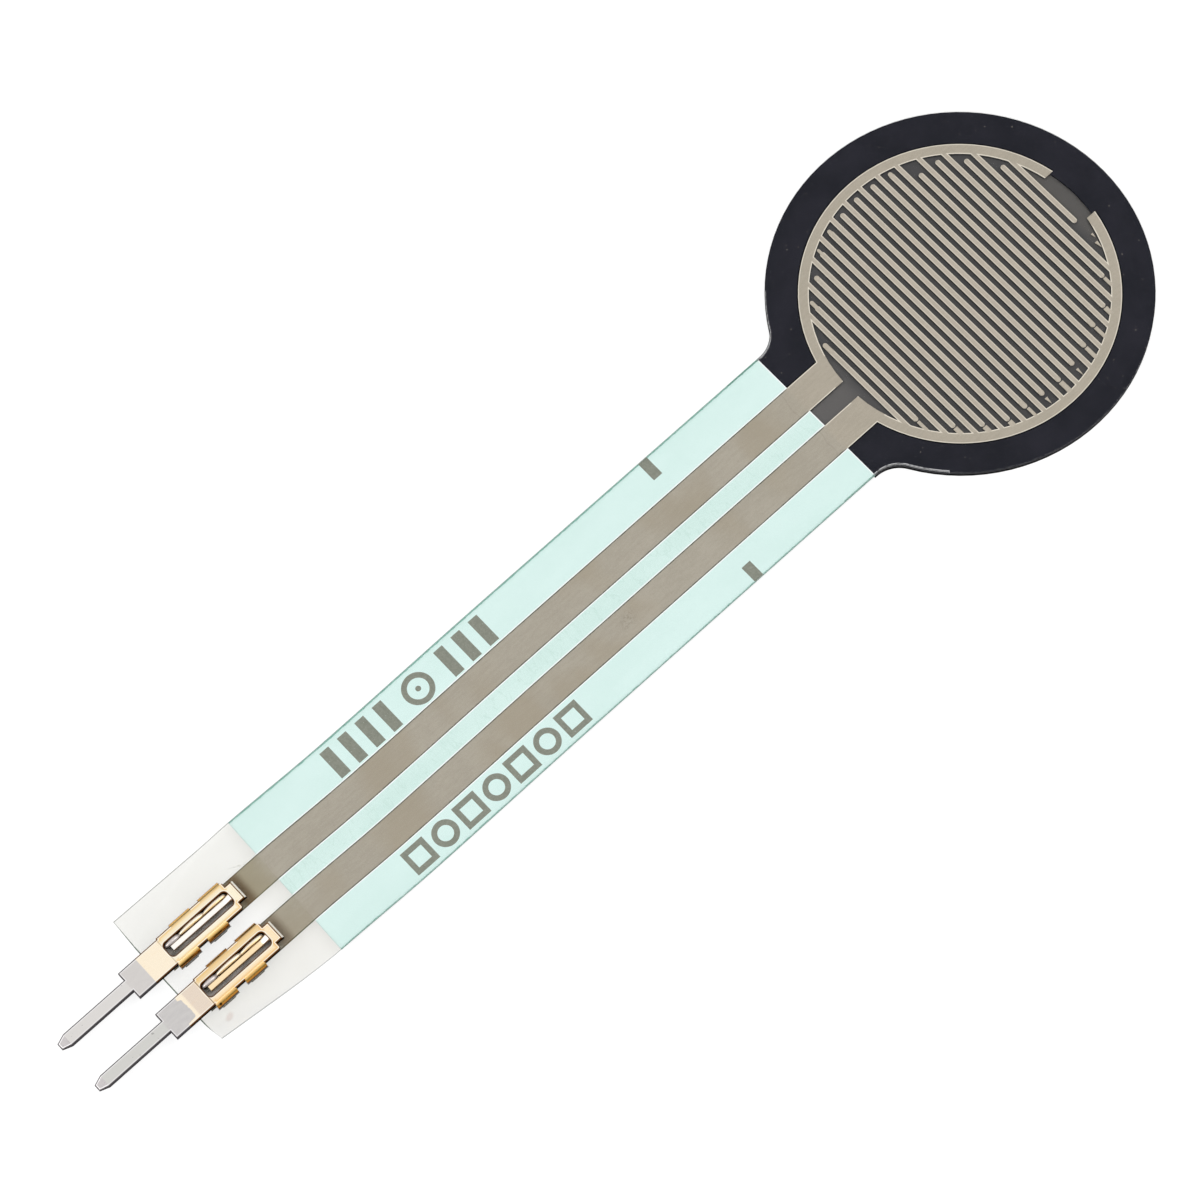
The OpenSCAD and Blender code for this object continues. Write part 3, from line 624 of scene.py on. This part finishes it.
# Painted shade and painted highlight: a dark brown line along every top edge of the blank and the
# window, with a pale glint line just inside it.
contact_edge_shade_line = (1.0 - contact_near.step(0.028, 0.055)) * contact_level
contact_glint = contact_near.step(0.04, 0.06) * (1.0 - contact_near.step(0.07, 0.1)) * contact_level

contact_ragged = (contact.noise(2.5, 3.0) - 0.5) * 0.3
contact_bay = contact_across.step(0.56, 0.62) * 0.45 + (1.0 - contact_across.step(-0.52, -0.44)) * 0.16
contact_border = contact_far * (contact_bay + contact_ragged - 0.27) + 5.52
contact_tin = (contact_u - contact_border).step(-0.02, 0.02)
# Painted reflection: the gold is richer near the edges of the blank and creamier in its middle.
contact_edge_reflection = contact_far.tint(shade(246, 206, 138), shade(244, 196, 126))
contact_cream = contact_far.tint(shade(255, 245, 218), shade(255, 234, 198))
contact_lifted = contact_depth + (1.0 - contact_u.step(0.35, 0.5)) * 0.1
contact_gold = contact_lifted.step(0.06, 0.26).tint(contact_edge_reflection, contact_cream)
contact_shaded = (1.0 - contact_across.step(-0.5, -0.3)) * contact_u.step(0.5, 0.6)
contact_gold = (contact_shaded * (0.2 + contact_far * 0.35)).tint(contact_gold, shade(234, 202, 142))
contact_gold = contact_u.step(4.1, 4.4).tint(contact_gold, shade(255, 241, 217))
contact_pale = contact_far * contact_u.step(4.3, 4.36) * (1.0 - contact_u.step(5.0, 5.12))
contact_gold = contact_pale.tint(contact_gold, shade(234, 218, 201))
contact_gold = (contact_rub.step(0.5, 0.85) * 0.2).tint(contact_gold, shade(240, 200, 140))
contact_gold = contact_glint.tint(contact_gold, shade(255, 250, 236))
contact_seam = 1.0 - abs(contact_u - 4.27).step(0.012, 0.035)
contact_seam = contact_seam * (0.3 + contact_far * 0.4) * contact_plate
contact_gold = contact_edge_shade_line.or_more(contact_seam).tint(contact_gold, shade(98, 56, 20))

# Painted shading of the folded tines: a ramp across each fold from a brown root through bright gold to a
# dark brown outer edge.
contact_fold_shading = contact_v.node("ShaderNodeValToRGB", {"stops": [
    (0.0, shade(150, 96, 36)), (0.1, shade(255, 214, 132)), (0.5, shade(232, 172, 80)),
    (0.78, shade(184, 122, 42)), (0.95, shade(60, 32, 8))]}, {"Fac": (contact_v - body_half) * 6.4})
contact_bent = contact_v.step(0.804, 0.812) * (1.0 - contact_u.step(4.35, 4.4))
contact_slope = 1.0 - contact_up.step(0.2, 0.55)
contact_wall = contact_slope * (1.0 - contact_bent)
# Painted shade: the upright walls are painted dark brown, near-black towards their foot.
contact_wall_tone_and_shade = (contact.z - contact_top + 0.1).step(0.0, 0.08)
contact_wall_tone_and_shade = contact_wall_tone_and_shade.tint(shade(14, 9, 6), shade(140, 84, 32))
# Painted highlight: the lip's sloping front face is painted near-white and kept less metallic.
contact_lip_highlight = (1.0 - contact_u.step(0.085, 0.1)) * contact_up.step(0.4, 0.6)
contact_gold = contact_lip_highlight.tint(contact_gold, shade(255, 250, 240))
contact_gold = contact_bent.tint(contact_gold, contact_fold_shading)

# Painted reflections and shade in the window: a whiter tongue on one contact and at its bent root, pale
# and gold faces on the leaves, a grey last leaf, dark brown lines along the tongue and between leaf and
# tongue, and dark steep leaf sides.
contact_well = 1.0 - contact_plate
contact_tongue_tone = contact_far.tint(shade(255, 252, 246), shade(252, 228, 186))
contact_tongue_tone = (1.0 - contact_u.step(0.75, 1.0)).tint(contact_tongue_tone, shade(255, 252, 244))
contact_tongue_edge_shade = (contact_v - 0.1).step(0.0, 0.02)
contact_tongue_tone = (contact_tongue_edge_shade * 0.8).tint(contact_tongue_tone, shade(150, 104, 56))
contact_leaf_tone = (contact_across + 0.23).step(-0.03, 0.03)
contact_leaf_tone = contact_leaf_tone.tint(shade(255, 244, 224), shade(250, 216, 158))
contact_leaf_tone = contact_u.step(3.3, 3.36).tint(contact_leaf_tone, shade(214, 206, 202))
contact_gap_shadow = abs(contact_across + 0.15 + (contact_rub - 0.5) * 0.06)
contact_gap_shadow = (1.0 - contact_gap_shadow.step(0.008, 0.028)) * (1.0 - contact_u.step(3.3, 3.36))
contact_leaf_tone = contact_gap_shadow.tint(contact_leaf_tone, shade(84, 52, 20))
contact_leaf_tone = contact_up.step(0.1, 0.4).tint(shade(60, 34, 12), contact_leaf_tone)
contact_row = 1.0 - contact_across.step(-0.132, -0.126)
contact_well_tone = contact_row.tint(contact_tongue_tone, contact_leaf_tone)
contact_gold = contact_well.tint(contact_gold, contact_well_tone)
contact_gold = (contact_wall * contact_plate).tint(contact_gold, contact_wall_tone_and_shade)
# Painted shadow: the metal below the film's top face is painted dark brown.
contact_out_of_film_shadow = 1.0 - (contact_top - contact.z).step(0.36, 0.4)
contact_gold = contact_out_of_film_shadow.tint(shade(46, 26, 10), contact_gold)
contact_burr = contact.patch(47.42, 2.14, 0.2, 0.14)
contact_gold = contact_burr.tint(contact_gold, shade(44, 22, 6))

contact_grey = (contact_rub * 0.5 + contact_fine * 0.5).step(0.35, 0.65)
contact_grey = contact_grey.tint(shade(196, 193, 192), shade(205, 202, 200))
contact_grey = (0.5 - contact_far * 0.5).tint(contact_grey, shade(217, 212, 208))
contact_pin = contact_far.tint(shade(217, 214, 211), shade(207, 206, 202))
contact_grey = contact_u.step(6.5, 6.56).tint(contact_grey, contact_pin)
contact_point = (contact_u - point_start).step(-0.01, 0.01)
contact_grey = contact_point.tint(contact_grey, shade(176, 172, 172))
contact_marks = contact.noise(5.0, 2.0, shift=(3, 3, 0)).step(0.71, 0.74)
contact_grey = (contact_marks * 0.5).tint(contact_grey, shade(120, 116, 118))
# The same painted glint and painted edge shade on the tin.
contact_grey = (contact_glint * 0.8).tint(contact_grey, shade(240, 238, 238))
contact_grey = contact_edge_shade_line.tint(contact_grey, shade(88, 84, 86))
# Painted shade on the pin's upright walls.
contact_grey = contact_slope.tint(contact_grey, shade(96, 92, 95))
contact.set("Base Color", contact_tin.tint(contact_gold, contact_grey))
# Walls, the lip and the window are made less metallic so that their painted shade and highlights show.
contact_mirror = 1.0 - (contact_wall * contact_plate).or_more(contact_lip_highlight * 0.8) * 0.9
contact_mirror = contact_mirror * (1.0 - contact_well * 0.45) * (0.15 + contact_out_of_film_shadow * 0.85)
contact.set("Metallic", contact_mirror)
contact.set("Roughness", 0.22 + contact_tin * 0.12 + contact_rub * 0.1 + contact_wall * 0.2)
contact.bump(contact_rub + contact_fine * 0.4, 0.002)

plate_gauge = 0.32
leaf_row = -0.262
leaf_width = 0.27
leaf_height = 0.3
leaf_runs = ((0.62, 1.98, 0.012), (1.9, 3.38, -0.012), (3.34, 4.2, 0.0))
tongue_height = 0.2
tongue_width = 0.25


def crimp_strip(shape, places, arch):
    """Closed strip: arch(place) gives its section's points across and up, from foot to foot."""
    rings = [[shape.verts.new(point) for point in arch(place)] for place in places]
    made = []
    for before, after in zip(rings, rings[1:]):
        for k in range(len(before) - 1):
            made.append(shape.faces.new((before[k], before[k + 1], after[k + 1], after[k])))
        shape.faces.new((before[-1], before[0], after[0], after[-1]))
    shape.faces.new(rings[0])
    shape.faces.new(list(reversed(rings[-1])))
    for face in made:
        face.smooth = True


def dressed_contact(node, side):
    """Copy of a contact with its tine points under curled leaves and its tongue bent from the plate."""
    low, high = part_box(node)
    x0 = low[0]
    z0 = high[2] - plate_gauge / 1000
    middle = side * trace_middle / 1000
    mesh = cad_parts[node].data.copy()
    metal = bmesh.new()
    metal.from_mesh(mesh)
    bmesh.ops.remove_doubles(metal, verts=metal.verts, dist=1e-7)
    for corner in metal.verts:
        along, across, up = (corner.co - Vector((x0, middle, z0))) * 1000
        if 0.7 < along < 4.1 and -0.38 < across < -0.13 and up > 0.05:
            corner.co.z = z0 + 0.03 / 1000
    bmesh.ops.dissolve_degenerate(metal, dist=1e-8, edges=metal.edges)

    trim = bmesh.new()
    for start, stop, lean in leaf_runs:
        def leaf(u):
            """Section of one curled leaf, at a share u of its length."""
            along = start + (stop - start) * (1 - math.cos(math.pi * u)) / 2
            swell = math.sin(math.pi * u) ** 0.55
            half = leaf_width / 2 * max(swell * (1.1 - 0.35 * u), 0.02)
            crest = 0.04 + (leaf_height - 0.04) * max(swell, 0.02)
            section = [(-half, 0.01)]
            for k in range(9):
                turn = math.pi * (1 - k / 8)
                section.append((half * math.cos(turn), crest - 0.12 * swell * (1 - math.sin(turn))))
            section.append((half, 0.01))
            return [(x0 + along / 1000, middle + (leaf_row + lean + y) / 1000, z0 + z / 1000)
                    for y, z in section]
        crimp_strip(trim, [k / 20 for k in range(21)], leaf)

    def bend(u):
        """Section of the tongue's bend out of the plate, at a share u of its length."""
        along = lip_length + 0.62 * u
        half = tongue_width / 2 + 0.07 * (1 - u) ** 2
        drop = (1 - math.cos(math.pi * min(max(u * 1.25 - 0.15, 0), 1))) / 2
        top = plate_gauge - 0.002 - (plate_gauge - tongue_height - 0.004) * drop
        return [(x0 + along / 1000, middle + y / 1000, z0 + z / 1000)
                for y, z in ((-half, 0.08), (-half, top - 0.01), (-half + 0.02, top),
                             (half - 0.02, top), (half, top - 0.01), (half, 0.08))]
    crimp_strip(trim, [k / 12 for k in range(13)], bend)
    bmesh.ops.recalc_face_normals(trim, faces=trim.faces)
    extra = bpy.data.meshes.new(node + "_trim")
    trim.to_mesh(extra)
    trim.free()
    metal.from_mesh(extra)
    metal.to_mesh(mesh)
    metal.free()
    mesh.materials.clear()
    mesh.materials.append(contact.material)
    made = bpy.data.objects.new(node + "_metal", mesh)
    bpy.context.scene.collection.objects.link(made)
    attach(made, "root")
    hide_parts(node)


dressed_contact("contact_left", 1)
dressed_contact("contact_right", -1)


# Studio: a plain white floor under the part, a soft pale surround and two large soft lamps.
# The floor shows white to the camera and keeps the part's shadow.

floor_size = 0.8
floor_drop = 0.00001
floor_mesh = bpy.data.meshes.new("floor")
floor_mesh.from_pydata(
    [(x * floor_size / 2, y * floor_size / 2, -floor_drop)
     for x, y in ((-1, -1), (1, -1), (1, 1), (-1, 1))],
    [], [(0, 1, 2, 3)])
floor = bpy.data.objects.new("floor", floor_mesh)
bpy.context.scene.collection.objects.link(floor)
floor_paint = Finish("floor_paint", Roughness=0.9, Specular_IOR_Level=0.1)
floor_mesh.materials.append(floor_paint.material)
floor_paint.shader.inputs["Base Color"].default_value = (0.32, 0.32, 0.32, 1)
floor_rays = floor_paint.place.node("ShaderNodeLightPath", output="Is Camera Ray")
floor_glossy = floor_paint.place.node("ShaderNodeLightPath", output="Is Glossy Ray")
floor_through = floor_paint.place.node("ShaderNodeLightPath", output="Is Transmission Ray")
floor_seen = floor_rays.or_more(floor_glossy).or_more(floor_through)
floor_paint.shader.inputs["Emission Strength"].default_value = 1.0
floor_paint.set("Emission Color", floor_seen.tint((0, 0, 0, 1), (0.8, 0.8, 0.8, 1)))

world = bpy.data.worlds.new("studio")
bpy.context.scene.world = world
world.use_nodes = True
world_start = Wire(world.node_tree)
sky_side = world_start.node("ShaderNodeTexCoord", output="Generated")
sky_rise = world_start.node("ShaderNodeSeparateXYZ", None, {0: sky_side}, 2)
sky_shade = sky_rise.step(0.15, 0.75).tint((0.12, 0.12, 0.12, 1), (0.95, 0.95, 0.95, 1))
sky_seen = world_start.node("ShaderNodeLightPath", output="Is Camera Ray")
sky_shade = sky_seen.tint(sky_shade, (1, 1, 1, 1))
world_paint = world.node_tree.nodes["Background"]
world.node_tree.links.new(sky_shade.socket, world_paint.inputs["Color"])
world_paint.inputs["Strength"].default_value = 1.0


def soft_lamp(name, azimuth, elevation, distance, size, strength):
    """Square lamp that looks at the middle of the part, placed by its direction from it."""
    lamp = bpy.data.lights.new(name, "AREA")
    lamp.shape = "SQUARE"
    lamp.size = size
    lamp.energy = strength
    made = bpy.data.objects.new(name, lamp)
    a = math.radians(azimuth)
    e = math.radians(elevation)
    back = Vector((math.sin(a) * math.cos(e), -math.cos(a) * math.cos(e), math.sin(e)))
    made.location = Vector((0.02, 0, 0)) + back * distance
    made.rotation_mode = "QUATERNION"
    made.rotation_quaternion = (-back).to_track_quat("-Z", "Y")
    bpy.context.scene.collection.objects.link(made)


soft_lamp("soft_lamp_tail", 80, 50, 0.6, 0.35, 0.7)
soft_lamp("soft_lamp_head", 235, 60, 0.5, 0.3, 0.45)


# Camera: stands over the tail's end, at the photograph's angle and distance.
# Its roll turns the tail towards the lower left corner of the frame.

camera_azimuth = math.radians(145.1714)
camera_elevation = math.radians(71.0531)
camera_roll = math.radians(-8.1484)
camera_distance = 0.2184992
camera_aside = -0.0185428
camera_above = -0.0116596
camera_focus = 4703.785
back = Vector((
    math.sin(camera_azimuth) * math.cos(camera_elevation),
    -math.cos(camera_azimuth) * math.cos(camera_elevation),
    math.sin(camera_elevation)))
level_right = Vector((math.cos(camera_azimuth), math.sin(camera_azimuth), 0))
level_up = back.cross(level_right)
right = level_right * math.cos(camera_roll) + level_up * math.sin(camera_roll)
up = level_up * math.cos(camera_roll) - level_right * math.sin(camera_roll)
spot = back * camera_distance + level_right * camera_aside + level_up * camera_above
camera_lens = bpy.data.cameras.new("camera")
camera_lens.sensor_width = 36
camera_lens.lens = camera_focus / 1200 * 36
camera_lens.clip_start = 0.01
camera_lens.clip_end = 10
camera = bpy.data.objects.new("camera", camera_lens)
camera.matrix_world = Matrix((
    (right.x, up.x, back.x, spot.x),
    (right.y, up.y, back.y, spot.y),
    (right.z, up.z, back.z, spot.z),
    (0, 0, 0, 1)))
bpy.context.scene.collection.objects.link(camera)
bpy.context.scene.camera = camera
bpy.context.scene.view_settings.view_transform = "Standard"
